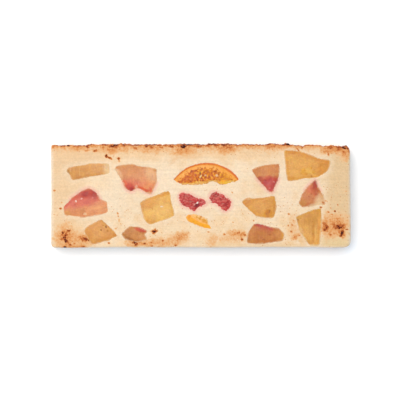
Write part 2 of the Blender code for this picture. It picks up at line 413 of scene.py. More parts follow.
points = points_of(marzipan)
hidden = among_fruit(points) & (points[:, 2] > HIDDEN_HEIGHTS[0]) & (points[:, 2] < HIDDEN_HEIGHTS[1])
group = marzipan.vertex_groups.new(name="hidden")
group.add([int(i) for i in np.nonzero(hidden)[0]], 1.0, 'REPLACE')
apply_modifier(marzipan, 'DECIMATE', ratio=KEPT_SHARE, vertex_group="hidden", vertex_group_factor=ONLY_HIDDEN)
marzipan.vertex_groups.clear()
print("marzipan:", len(marzipan.data.vertices), "points")

# %% [markdown]
# ## How the bar was browned
#
# Baking browns marzipan from the outside in. The browned side is a crust of crags, darkest on their tips.
# From it a toasted band runs a few millimetres into the cut face, and here and there sugar has scorched in
# flecks. All of this is one number at each point, from 0, raw, to 1, burnt black. The flecks are placed one
# by one.

# %% The scorched flecks and the toasted areas of the cut face
class Scorch(NamedTuple):
    """A scorched oval: its middle, half sizes in mm, how far it is burnt, and its turn in degrees."""
    x: float
    y: float
    long: float
    short: float
    burnt: float
    turn: float = 0


FLECKS = (  # each has the values of a Scorch, in its order
    # along the browned side, from the left
    (-97, 34.9, 2.6, 0.7, 0.62, 5), (-93.5, 35.1, 1.2, 0.5, 0.85), (-88, 34, 3.2, 0.9, 0.4, -8),
    (-80, 34.2, 1.3, 0.9, 0.8, -20), (-85.5, 34.8, 3.5, 0.5, 0.6), (-74.5, 31.5, 1.6, 0.9, 0.55, 25),
    (-80, 31.7, 1.6, 0.7, 0.36, 10), (-69, 33.6, 1.2, 0.9, 0.42, 40), (-61.5, 34.6, 3.6, 1.1, 0.66, 6),
    (-60.5, 35.4, 1.8, 0.6, 0.86), (-54.5, 35.4, 1.1, 0.6, 0.8), (-50, 35.2, 1.4, 0.6, 0.62),
    (-46.5, 33.2, 1.8, 0.9, 0.45, -15), (-38.5, 34.8, 1.8, 0.9, 0.68), (-35.5, 34, 1.6, 0.8, 0.6, -25),
    (-30, 35.3, 1.5, 0.6, 0.72), (-28, 33.8, 1.1, 0.9, 0.5, 30), (-21.5, 34.4, 1.9, 0.8, 0.66),
    (-12.7, 34.6, 2.3, 1.1, 0.93), (-9.5, 35.5, 1.6, 0.5, 0.8), (-2, 34.2, 2.2, 0.9, 0.58, 10),
    (4, 34.9, 1.6, 0.6, 0.5), (10, 35.3, 1.6, 0.7, 0.66), (15.5, 35.6, 2.2, 0.8, 0.78),
    (20, 34, 1.5, 0.8, 0.5), (31, 35, 1.8, 0.5, 0.45), (48, 34.2, 2.6, 0.8, 0.45, 5),
    (60, 36.2, 2.3, 1, 0.97, -6), (63.4, 35.9, 1.4, 0.6, 0.86, -15), (67, 32.6, 1.9, 0.45, 0.74, -52),
    (70.5, 34, 1.6, 0.45, 0.66, 62), (73.5, 35.2, 2.4, 0.5, 0.5), (89.5, 34.2, 2.4, 0.8, 0.52),
    (90.5, 33.5, 0.7, 1.1, 0.66), (99.2, 33.5, 3, 0.55, 0.98, -17), (102.4, 33.7, 0.9, 1, 0.8),
    (103.5, 31.6, 0.6, 1.5, 0.72, 8), (100, 30.5, 1.5, 1, 0.5), (96, 33.8, 1.5, 0.7, 0.55),
    # in the face
    (-66.6, 27.6, 1, 1.3, 0.74, 15), (-64.3, 26.4, 1.9, 0.7, 0.66, -25), (-58.1, 26, 0.9, 0.8, 0.64),
    (-57.7, 24.4, 0.5, 0.9, 0.45), (-103, 3.6, 0.9, 0.5, 0.42), (88.7, 29, 0.55, 1.4, 0.55, 12),
    (-97.9, -5, 0.5, 0.5, 0.5), (-98.7, -9, 0.8, 0.6, 0.72, 30), (21.5, 2.2, 0.7, 0.4, 0.34),
    (101, 3, 0.8, 0.4, 0.32), (22, -18.5, 0.6, 0.35, 0.34), (4.9, -25.6, 0.7, 0.4, 0.5),
    (-33.4, -25.2, 1.5, 1.4, 0.72, 45), (-33.2, -24.8, 2.6, 0.7, 0.66, 8), (-33, -25, 0.7, 2.2, 0.66, -15),
    (-47.2, -32.8, 1.4, 0.8, 0.78), (-45.6, -34.2, 1.2, 0.7, 0.7, 20), (-58.8, -12.3, 0.6, 0.7, 0.3),
    (-57.8, -17.2, 0.4, 1.2, 0.3), (-60.2, -23, 0.8, 0.6, 0.3), (-65, -33.2, 0.9, 0.5, 0.52),
    (-97.2, -26, 0.9, 1, 0.66), (-93, -24.3, 1.6, 0.55, 0.8, 5), (-96, -29.6, 1.4, 1.4, 0.76),
    (-94.9, -31.5, 1.1, 1.3, 0.9), (-98.3, -30.5, 1, 0.8, 0.55), (-92, -34.4, 0.9, 0.9, 0.68),
    (-95.8, -36, 1.2, 0.8, 0.92), (-81.3, -30.7, 1.4, 1.1, 0.78, 30), (-78.7, -31.3, 1.3, 0.6, 0.88, -20),
    (-83, -31.8, 1, 0.5, 0.62), (-83, -35.7, 1.4, 0.7, 0.56), (-89, -33.5, 0.9, 0.8, 0.4),
    (-40, -33.5, 0.9, 0.7, 0.72), (-35, -33, 0.8, 0.5, 0.6), (-34.8, -35.2, 0.8, 0.5, 0.66),
    (-27, -31.5, 0.9, 0.6, 0.5), (-18.3, -34.6, 1, 0.6, 0.76), (16, -27, 0.7, 0.5, 0.55),
    (26, -26.2, 1.2, 0.9, 0.46), (28.4, -30.6, 1, 0.9, 0.6), (30.2, -27.4, 0.9, 0.7, 0.48),
    (60.9, -12.9, 0.7, 0.6, 0.42), (60.6, -20.8, 0.45, 0.4, 0.72), (63.5, -20.6, 0.5, 0.4, 0.66),
    (62.7, -24.9, 0.5, 0.8, 0.7), (65.6, -28.6, 1.2, 0.7, 0.4, 15), (68.4, -27.8, 0.6, 0.4, 0.5),
    (85.3, -5.3, 1.3, 0.9, 0.52), (87, -3.8, 0.5, 0.5, 0.42), (83.5, -8.2, 0.6, 0.5, 0.86),
    (93.3, -11, 0.6, 0.55, 1), (88.7, -11.5, 0.6, 0.5, 0.5), (95.5, -6.5, 0.4, 0.4, 0.6),
    (90.6, -8.6, 0.35, 0.35, 0.6), (97.5, -13.5, 0.4, 0.35, 0.66), (58.6, -16.4, 0.4, 0.35, 0.6),
    (64.4, -17.6, 0.35, 0.35, 0.6), (36.5, -17.5, 0.4, 0.35, 0.55), (-58.4, -14.5, 0.4, 0.4, 0.5),
    (-56.6, -19.8, 0.35, 0.4, 0.5), (91, -13.2, 1, 0.35, 0.44), (85.5, -19.6, 0.7, 1.3, 0.56, 12),
    (86, -24, 1.1, 0.8, 0.66, 10), (87.9, -22.8, 1.2, 1.2, 0.64), (96, -21.5, 4.2, 2, 0.55, -8),
    (98, -21, 2.4, 1.2, 0.62, -5), (98.4, -26, 0.9, 1.6, 0.97, -18), (97.4, -28.2, 0.8, 0.7, 0.96),
    (90.2, -27.3, 1.1, 0.6, 0.56), (101.6, -23.6, 1, 0.5, 0.6),
)

TOASTED = (
    # wide and faint: under the crust, and where the bar lay against its neighbours in the oven
    (-12, 32, 8, 4, 0.3), (18, 33.4, 8, 3.6, 0.36), (-62, 33.4, 10, 3.4, 0.3), (-87, 34, 9, 2.6, 0.26),
    (-38, 34, 12, 3, 0.28), (48, 34, 9, 2.4, 0.2), (94, 33.4, 10, 3.6, 0.4), (100, 31, 5, 5, 0.26),
    # the lower left corner
    (-94, -29.5, 7, 8, 0.27, 5), (-95.5, -28.5, 3, 6, 0.46, 4), (-95.5, -28.8, 1.5, 3.8, 0.64, 4),
    (-84, -30.5, 8, 4.5, 0.26), (-82, -30, 4.4, 2.8, 0.42, -8), (-81.6, -30.2, 2.6, 1.4, 0.66, -15),
    (-91, -35.4, 9, 2.4, 0.28), (-96.5, -24.8, 1.6, 1.8, 0.45),
    # along the lower edge
    (-44, -33.5, 9, 2.4, 0.28, -6), (-30, -32.5, 12, 3.2, 0.22), (-14.5, -29, 5, 3, 0.27, 12),
    (-19, -31, 9, 3.6, 0.2, 10), (8, -31, 5, 4, 0.15, 30), (24, -27, 6, 2.8, 0.24), (29, -27.6, 3, 2.4, 0.3),
    (20, -30, 12, 3.4, 0.14), (65.5, -28.4, 3.4, 2, 0.24, 10), (64, -22, 4, 8, 0.14),
    # the lower right corner
    (93.5, -21, 10, 7, 0.3), (95.6, -21.6, 6, 3.8, 0.45, -4), (96.8, -21.2, 4, 1.9, 0.66, -6),
    (86.8, -22, 3.2, 2.8, 0.45), (87, -22.2, 1.8, 1.5, 0.66), (98.3, -25.8, 2.2, 2.8, 0.5, -15),
)

SPECKLED = (
    # where fine scorched grains lie thickly
    (-52, -18, 10, 12, 0.7), (-96, -8, 7, 8, 0.8), (-88, -30, 14, 8, 0.9), (-30, -32, 18, 6, 1),
    (12, -26, 12, 10, 0.9), (62, -22, 6, 13, 1), (92, -16, 12, 15, 1), (98, 27, 8, 9, 0.8),
    (0, 33, 105, 4.5, 1), (75, 33, 12, 4, 0.9), (12, 12, 25, 8, 0.25), (95, 4, 9, 6, 0.5),
    (-20, -24, 60, 12, 0.25), (60, -18, 44, 16, 0.28),
)


def burnt_by(marks, points, ragged, soft):
    """How far the marks burn the points: the most that any of them does."""
    burnt = np.zeros(len(points))
    for mark in (Scorch(*numbers) for numbers in marks):
        away = points[:, :2] - MEASURED_FROM - (mark.x, mark.y)
        near = np.abs(away).max(axis=1) < 2 * max(mark.long, mark.short)
        turn = radians(mark.turn)
        along = (away[near] @ (np.cos(turn), np.sin(turn))) / mark.long
        across = (away[near] @ (-np.sin(turn), np.cos(turn))) / mark.short
        reach = np.hypot(along, across) + ragged[near]
        here = mark.burnt * (1 - eased(reach, 1 - soft, 1 + soft))
        burnt[near] = np.maximum(burnt[near], here)
    return burnt


print(len(FLECKS), "flecks and", len(TOASTED), "toasted areas")

# %% Crags on the browned side, pits and knife drag on the cut faces
CRAG = 2.6  # mm across, like the other sizes here, and the heights are in mm too
CRAG_HEIGHT = 0.55
CRAG_MEAN = 0.6  # about the mean of the crags' noise, so that they sink the side as much as they lift it
SPLINTER = 0.8
CRUMB = 0.9
CRUMB_HEIGHT = 0.12
WAVE = 11.0
WAVE_HEIGHT = 0.07
CUT_FACE = (0.5, 0.9)  # how far up a point looks: off the cut face below the first, on it from the second
PRESSED = 0.7  # the share of a pit's depth that the knife has filled on the cut face

points = points_of(marzipan)
facing = facing_of(marzipan)
inner = among_fruit(points)
points[inner] = pressed_flush(points[inner], facing[inner])
outer = points[:, 1] > FRUIT_ZONE[2]
browned = np.clip(facing[:, 1], 0, 1) ** 2 * outer

crags = np.zeros(len(points))
crags[outer] = np.abs(noise_at(points[outer], CRAG, seed=5)) * 2 + 0.5 * noise_at(points[outer], SPLINTER)
pits = CRUMB_HEIGHT * np.minimum(noise_at(points, CRUMB), 0) * (1 - PRESSED * eased(facing[:, 2], *CUT_FACE))
lift = CRAG_HEIGHT * (crags - CRAG_MEAN) * browned
lift += (1 - browned) * (pits + WAVE_HEIGHT * noise_at(points, WAVE))
points += facing * lift[:, None]
points[:, 2] = np.clip(points[:, 2], 0, None)  # it lies flat
put_points(marzipan, points)
print(f"relief from {lift.min():.2f} to {lift.max():.2f} mm")

# %% How far the crust, the browned side and the sides of the tray have burnt the points
BROWNED_Y = 35.2  # mm: where the browned side runs, on average
CRUST_DEPTH = 0.5  # mm that the darkest skin goes in
TOAST_DEPTH = 2.6  # mm that the tan below it goes in
SKIN_BURNT = 0.6  # how far the skin is burnt, on average, and so on
TAN_BURNT = 0.4
SIDE_BURNT = 0.6
TRAY_BURNT = 0.07
PALE_SIDE_Y = -35  # mm
TRAY_HEIGHT = 14.5  # mm up the pale side that the tray has tanned

broad = noise_at(points, 14.0, seed=3)
inwards = np.clip(BROWNED_Y - points[:, 1] + 0.9 * noise_at(points, 2.5, seed=9), 0, None)
skin = SKIN_BURNT * np.exp(-inwards / CRUST_DEPTH) * (0.75 + 0.9 * noise_at(points, 5.0, seed=12))
tan_depth = TOAST_DEPTH * (1 + 0.5 * broad)
tan = TAN_BURNT * np.exp(-inwards / tan_depth) * (1 + 0.6 * noise_at(points, 1.6, seed=13))
side = browned * np.clip(SIDE_BURNT + 0.28 * (crags - CRAG_MEAN) + 0.3 * broad, 0.3, 1)
pale_side = np.clip(-facing[:, 1], 0, 1) ** 2 * (points[:, 1] < PALE_SIDE_Y) * (points[:, 2] < TRAY_HEIGHT)
tray = pale_side * np.clip(TRAY_BURNT + 0.14 * broad + 0.08 * noise_at(points, 3.5, seed=8), 0, 1)

# %% The flecks and the toasted areas, and all the browning together
RAGGED = ((1.2, 0.4, 2), (0.5, 0.2, 4))  # noises: their sizes, strengths and seeds
CLOUDY = ((4.5, 0.35, 7), (1.8, 0.35, 6))
CLUMPED = ((2.4, 0.5, 31), (1.2, 0.5, 32))
DRIFT = 1.6  # mm that the toasted areas are pushed about
FACES = (4, 8)  # mm from halfway down: the marks fade out between these, on the sides

seen = points.copy()
seen[points[:, 2] < HALFWAY, 0] *= -1  # the underside has the same marks, the other way about
near_face = eased(np.abs(points[:, 2] - HALFWAY), *FACES)
cloudy = layered(points, CLOUDY)
flecks = burnt_by(FLECKS, seen, layered(points, RAGGED), 0.4) * near_face
drifted = seen + DRIFT * np.column_stack([noise_at(points, 5.0, seed=k) for k in (21, 22, 23)])
toasted = burnt_by(TOASTED, drifted, cloudy, 1.0) * near_face
clumps = np.clip(1.1 + layered(points, CLUMPED), 0.5, 1.6)
toasted *= 1 + (clumps - 1) * eased(toasted, 0.15, 0.5)  # faint areas are even, and dark ones in clumps
burnt = np.maximum.reduce([skin, tan, side, flecks, toasted, tray])
keep_value(marzipan, "burnt", np.clip(burnt, 0, 1))
keep_value(marzipan, "speckled", burnt_by(SPECKLED, seen, cloudy, 0.6) * near_face)
print(f"burnt: {burnt.mean():.3f} on average")

# %% How far each point of the marzipan is from the fruit, and from the parts that bleed red
FAR = 99  # mm, beyond everything across the bar and up it
RED_PARTS = {  # of each dyed piece: what lies between these two, across the bar in mm
    "cherry_left": (-FAR, FAR), "cherry_right": (-FAR, FAR), "blush_wedge": (-3, FAR),
    "blush_trapezoid": (-FAR, 9), "blush_triangle": (-FAR, 12), "blush_shard": (3, FAR),
}
NOTHING = (FAR, -FAR)
STEP = 0.8  # mm between the points along an outline

def outlines(lowest, highest):
    """Points along the outlines of the fruit between two heights, and those of them that are red."""
    fruit_points, red_points = [], []
    for name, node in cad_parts.items():
        if name == "marzipan_slab":
            continue
        low, high = RED_PARTS.get(name, NOTHING)
        for edge in node.data.edges:
            start, end = (node.data.vertices[i].co / MM for i in edge.vertices)
            if lowest < start.z < highest and lowest < end.z < highest:
                steps = max(1, round((end - start).length / STEP))
                here = [start.lerp(end, k / steps).to_2d().to_3d() for k in range(steps)]
                fruit_points += here
                red_points += [point for point in here if low < point.y < high]
    return fruit_points, red_points


distances = np.zeros((2, len(points)))
upper = points[:, 2] > HALFWAY
for half, heights in ((upper, (BAR_THICKNESS - 1, FAR)), (~upper, (-FAR, 1))):
    for row, targets in enumerate(outlines(*heights)):
        distances[row, half] = distance_to(targets, points[half] * (1, 1, 0))
    print("up to", heights[1], "mm:", len(targets), "red points")
keep_value(marzipan, "fruit_distance", distances[0])
keep_value(marzipan, "red_distance", distances[1])

# %% [markdown]
# ## The finish of the marzipan
#
# Marzipan is ground almonds in boiled sugar: a matt, slightly moist paste. Light goes a millimetre into it,
# which softens its look, so the shader has some subsurface scattering. Its cream is a little darker and
# yellower towards the ends, and paler round the fruit, which keeps the paste moist. Ground almond gives fine
# grain, and single grains are scorched where the bar was hottest. The knife drags faint streaks along it.

# %% The colours of almond paste, sliced
CREAM = "F7DBB5"
PALE_CREAM = "F9E2C2"
WARM_CREAM = "F3CFA4"
MOIST_CREAM = "FAE6CC"  # round the fruit
TINTS = (  # each has the values of a Patch, in its order
    ("F0CEA5", -95, 5, 14, 50, 0.75, 0, 1.2), ("ECC9A0", -90, 28, 20, 8, 0.6, 0, 1.2),
    ("F2CCA1", -30, 30, 120, 5, 0.5, 0, 1.2), ("E7C69A", 100, 5, 14, 40, 0.9, 0, 1.2),
    ("FBE7CC", 28, 18, 7, 6, 0.6, 0, 1.2), ("E8CD9A", 93, -33, 10, 4, 0.7, 0, 1),
    ("F8E4C8", -60, -2, 14, 15, 0.7, 0, 1.2), ("FAE6CB", -25, 12, 9, 12, 0.7, 0, 1.2),
    ("F9E4CA", 2, 0, 28, 12, 0.6, 0, 1.2), ("F9E3C8", 58, 5, 7, 16, 0.7, 0, 1.2),
    ("F6D8B2", 0, -22, 30, 6, 0.4, 0, 1.2), ("F0C592", -86, -30, 14, 8, 0.5, 0, 1),
    ("F1CC9C", 40, -35, 34, 2.4, 0.6, 0, 1), ("EBC094", -11, 26.8, 9, 1.1, 0.5, 8, 1),
    ("EBC094", -20, 24.5, 4, 1, 0.4, 35, 1), ("DCCB9C", 102.5, 26, 2.5, 3, 0.6, 0, 1),
    ("E9B676", 70, -29, 2.6, 5, 0.7, 32, 1.2),
)
EDGE_SHEEN = "F5E3CD"  # painted light: paler along the rounded ends and the lower edge, as a sheen on them
BLEED = "F6BDAB"  # cherry red that the paste has taken up
BROWNING = (
    (0.0, "F4D2A8"), (0.12, "F0BF8C"), (0.25, "E7A468"), (0.4, "D6844A"), (0.55, "B85F34"),
    (0.7, "8C3E20"), (0.85, "582410"), (1.0, "260F08"),
)

# %% Raw almond paste: its clouds, tints, moist rims, streaks and grain
GRAIN = 0.8  # mm across a grain of ground almond
STREAK = (30, 1.3, 4)  # mm along, across and down a streak that the knife has dragged

material, tree, shader, place = new_material("almond_paste_sliced")
clouds = add(tree, "TexNoise", {"Vector": place, "Scale": 1 / 9, "Detail": 5.0, "Roughness": 0.6})
colour = covered(tree, PALE_CREAM, (Scaled(clouds, 0.38, 0.62, 0, 1), WARM_CREAM), (0.4, CREAM))
colour = painted(tree, shifted(tree, place, 9, 4), colour, TINTS)
fruit_away = add(tree, "Attribute", take="Fac", attribute_name="fruit_distance")
red_away = add(tree, "Attribute", take="Fac", attribute_name="red_distance")
x, y, z = (add(tree, "SeparateXYZ", {"Vector": place}, take=axis) for axis in "XYZ")
end = add(tree, "Math", {0: x}, operation='ABSOLUTE')
# painted light: the paste is made paler along the ends and the lower edge, most near the top face, as a sheen
# on the rounded edges
sheen_at_edge = add(tree, "Math", {0: Scaled(end, 102.4, 104.6, 0, 0.7), 1: Scaled(y, -35, -36.6, 0, 0.6)},
              operation='MAXIMUM')
sheen_at_upper_edge = product(tree, sheen_at_edge, Scaled(z, 13, 16.5, 0.25, 1))
colour = covered(tree, colour, (Scaled(fruit_away, 0, 5, 0.35, 0), MOIST_CREAM),
                 (Scaled(red_away, 0.3, 2.8, 0.7, 0), BLEED), (sheen_at_upper_edge, EDGE_SHEEN))

streak_place = add(tree, "Mapping", {"Vector": place, "Scale": [1 / size for size in STREAK]})
streak = add(tree, "TexNoise", {"Vector": streak_place, "Scale": 1.0, "Detail": 2.0})
grain = add(tree, "TexVoronoi", {"Vector": place, "Scale": 1 / GRAIN}, take="Color")
grain_tone, grain_lot = (add(tree, "SeparateColor", {"Color": grain}, take=part) for part in ("Red", "Blue"))
tone = product(tree, Scaled(streak, 0.3, 0.7, 0.965, 1.025), Scaled(grain_tone, 0, 1, 0.945, 1.045))
colour = add(tree, "HueSaturation", {"Value": tone, "Color": colour})

# %% Browned almond paste: the stored browning, broken up by the grain, and scorched grains
SCORCHED_GRAINS = ((2.0, 0.74), (1.3, 0.64))  # mm between them, and the share left out where they lie thickly

burnt_value = add(tree, "Attribute", take="Fac", attribute_name="burnt")
speckled = add(tree, "Attribute", take="Fac", attribute_name="speckled")
mottle = add(tree, "TexNoise", {"Vector": place, "Scale": 1 / 1.3, "Detail": 4.0})
mottle = Scaled(mottle, 0.3, 0.7, 0.72, 1.28)
by_grain = add(tree, "MapRange", {"Value": grain_lot, "To Min": 0.75, "To Max": 1.25})
burnt_here = product(tree, burnt_value, mottle, by_grain)
speck_tone = add(tree, "MapRange", {"Value": burnt_here, "To Min": 0.58, "To Max": 1.1})
for spacing, left_out in SCORCHED_GRAINS:
    # each cell of a loose net may have one, the likelier the more speckled the place is
    grains = add(tree, "TexVoronoi", {"Vector": place, "Scale": 1 / spacing}, take="Distance")
    lot = add(tree, "SeparateColor", {"Color": grains.node.outputs["Color"]}, take="Blue")
    drawn = add(tree, "Math", {0: lot, 1: Scaled(speckled, 0, 1, 1, left_out)}, operation='GREATER_THAN')
    speck = product(tree, drawn, Scaled(grains, 0.11, 0.28, 1, 0), speck_tone)
    burnt_here = add(tree, "Math", {0: burnt_here, 1: speck}, operation='MAXIMUM')
browned_colour = add(tree, "ValToRGB", {"Fac": burnt_here}, stops=BROWNING)
colour = covered(tree, colour, (Scaled(burnt_here, 0, 0.16, 0, 1), browned_colour))

# %% The almond paste's shader
MATT = 0.18  # the share of a moist surface's gloss that the paste has

fine = add(tree, "TexNoise", {"Vector": place, "Scale": 1 / 0.5, "Detail": 3.0})
relief = add(tree, "Math", {0: fine, 1: grain_tone}, operation='ADD')
bump = add(tree, "Bump", {"Height": relief, "Strength": 0.5, "Distance": 0.06 * MM})
set_shader(tree, shader, Base_Color=without_gloss(tree, colour, MATT), Normal=bump,
           Roughness=Scaled(mottle, 0.72, 1.28, 0.5, 0.68), IOR=1.45, Specular_IOR_Level=0.15,
           Subsurface_Weight=0.1, Subsurface_Radius=(1.0, 0.6, 0.3), Subsurface_Scale=1.0 * MM)
marzipan.data.materials.append(material)
marzipan.data.shade_smooth()
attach(marzipan, "root")
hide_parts("marzipan_slab")
print(material.name, len(tree.nodes), "nodes")

# %% [markdown]
# ## The candied fruit, as meshes
#
# Candied fruit keeps its cells, and shrinks and wrinkles a little as syrup takes the place of its juice. Each
# piece starts from its solid and gets an even net. Two displacements of different sizes then lift and sink
# its surface by a tenth or two of a millimetre, which breaks up the reflections on it.

# %% A piece of fruit
FRUIT_NET = 0.42  # mm
FRUIT_GROWTH = 0.55  # mm that each side is moved out, over the gap that the solids leave
ANYWHERE = (999, -999, 999)
SIDEWAYS = 0.6  # a point that looks less far up or down than this is on a side
SLANT = (1, 1, 0.2)  # a side counts as near to what lies above it, so that all of it is rim

def fruit_mesh(name, lump, lump_height, wrinkle, wrinkle_height):
    """A fine copy of a fruit's solid, with soft lumps and wrinkles, and each point's distance to its rim."""
    piece = copy_of(name, f"{name}_fruit")
    thickened(piece, FRUIT_GROWTH, ANYWHERE)
    apply_modifier(piece, 'REMESH', mode='VOXEL', voxel_size=FRUIT_NET * MM)
    facing = facing_of(piece)
    points = pressed_flush(points_of(piece), facing)
    creases = 0.5 - np.abs(noise_at(points, wrinkle)) * 2
    lift_faces(piece, points, facing, lump_height * noise_at(points, lump) + wrinkle_height * creases)
    on_side = np.abs(facing[:, 2]) < SIDEWAYS
    keep_value(piece, "rim", distance_to(points[on_side] * SLANT, points * SLANT))
    piece.data.shade_smooth()
    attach(piece, "root")
    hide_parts(name)
    print(name, len(piece.data.polygons), "faces")
    return piece


# %% [markdown]
# ## The finish of the fruit
#
# Syrup has gone right through the fruit, so it is translucent and lies in the light like amber. Its cut face
# is glossy but not wet. Each piece has its own colours: the patches below say where it is darker, where the
# dye has taken and where the paste has been smeared over it by the knife. A few small pale spots among them
# are painted highlights.

# %% What one kind of candied fruit looks like
class Fruit(NamedTuple):
    """A piece of fruit: its colour, the patches on it, and its fibres."""
    base: str
    patches: tuple
    fibre_turn: float = 90  # degrees: the way the fibres run
    fibre_strength: float = 0.05
    fibre_spacing: float = 0.8  # mm


FIBRE_LENGTH = 12  # mm
FIBRE_DEPTH = 6  # mm

def smeared(tree, colour, uneven, strength):
    """The colour with a little paste smeared unevenly over the rim of the fruit."""
    rim = add(tree, "Attribute", take="Fac", attribute_name="rim")
    edge = add(tree, "Math", {0: rim, 1: Scaled(uneven, 0.35, 0.65, -0.35, 0.35)}, operation='ADD')
    return covered(tree, colour, (Scaled(edge, 0, 1.3, strength, 0), CREAM))


def candied(name, fruit):
    """The material of a piece of candied fruit."""
    material, tree, shader, place = new_material(f"candied_{name}")
    uneven = shifted(tree, shifted(tree, place, 4, 1.0), 1.3, 0.5)
    colour = painted(tree, uneven, fruit.base, fruit.patches)
    along = add(tree, "Mapping", {"Vector": place, "Rotation": (0, 0, radians(fruit.fibre_turn)),
                                  "Scale": (FIBRE_LENGTH, fruit.fibre_spacing, FIBRE_DEPTH)},
                vector_type='TEXTURE')
    fibre = add(tree, "TexNoise", {"Vector": along, "Scale": 1.0, "Detail": 2.0})
    cloud = add(tree, "TexNoise", {"Vector": place, "Scale": 1 / 3.5, "Detail": 3.0})
    cells = add(tree, "TexNoise", {"Vector": place, "Scale": 1 / 0.7, "Detail": 3.0})
    rim = add(tree, "Attribute", take="Fac", attribute_name="rim")
    swings = ((fibre, fruit.fibre_strength), (cloud, 0.06), (cells, 0.08))
    # the syrup is thickest just inside the rim
    tone = product(tree, Scaled(rim, 0.4, 2.8, 0.97, 1),
                   *(Scaled(layer, 0.3, 0.7, 1 - swing, 1 + swing) for layer, swing in swings))
    colour = add(tree, "HueSaturation", {"Value": tone, "Saturation": Scaled(rim, 0.4, 2.8, 1.04, 1),
                                         "Hue": Scaled(cloud, 0.3, 0.7, 0.492, 0.501), "Color": colour})
    colour = smeared(tree, without_gloss(tree, colour), cells, 0.5)
    relief = add(tree, "Math", {0: cells, 1: fibre}, operation='ADD')
    bump = add(tree, "Bump", {"Height": relief, "Strength": 0.6, "Distance": 0.12 * MM})
    set_shader(tree, shader, Base_Color=colour, Roughness=Scaled(cloud, 0.3, 0.7, 0.3, 0.5), Normal=bump,
               IOR=1.48, Subsurface_Weight=0.3, Subsurface_Radius=(1.0, 0.45, 0.2), Subsurface_Scale=2.0 * MM)
    return material


